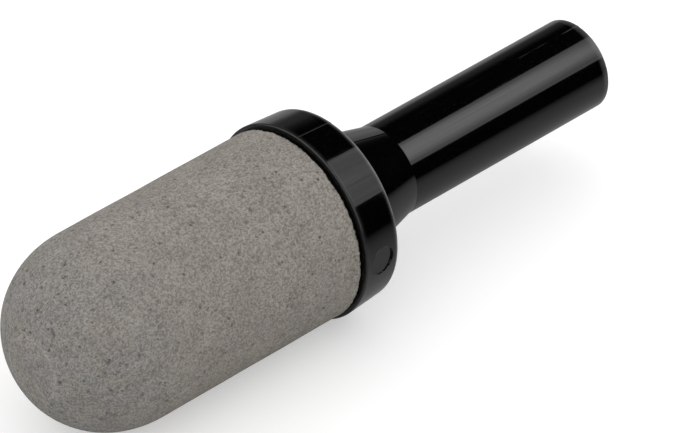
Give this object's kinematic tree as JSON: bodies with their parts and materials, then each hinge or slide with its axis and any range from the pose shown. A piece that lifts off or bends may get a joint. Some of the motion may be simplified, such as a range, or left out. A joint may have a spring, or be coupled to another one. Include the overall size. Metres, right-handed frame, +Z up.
{
  "type": "pneumatic silencer",
  "caption": "Plug-in pneumatic silencer: a glossy black plastic stem flares into a collar that holds a grey porous plastic cup with a domed end.",
  "frame": {"origin": "centre of the stem's end face, on the turning axis", "axes": "+X along the turning axis, out of the stem; the domed end points along -X; +Z up, with the mould's parting line within 5 degrees of it; the collar's gate recess faces -Y"},
  "size_m": [0.0611, 0.0172, 0.0172],
  "materials": {
    "black_plastic": "moulded gloss black, fine parting line along the stem and collar",
    "grey_sintered_plastic": "matt, granular, with dark open pores"
  },
  "bodies": {
    "root": {"plug_housing": "black_plastic", "porous_cup": "grey_sintered_plastic"}
  },
  "joints": []
}
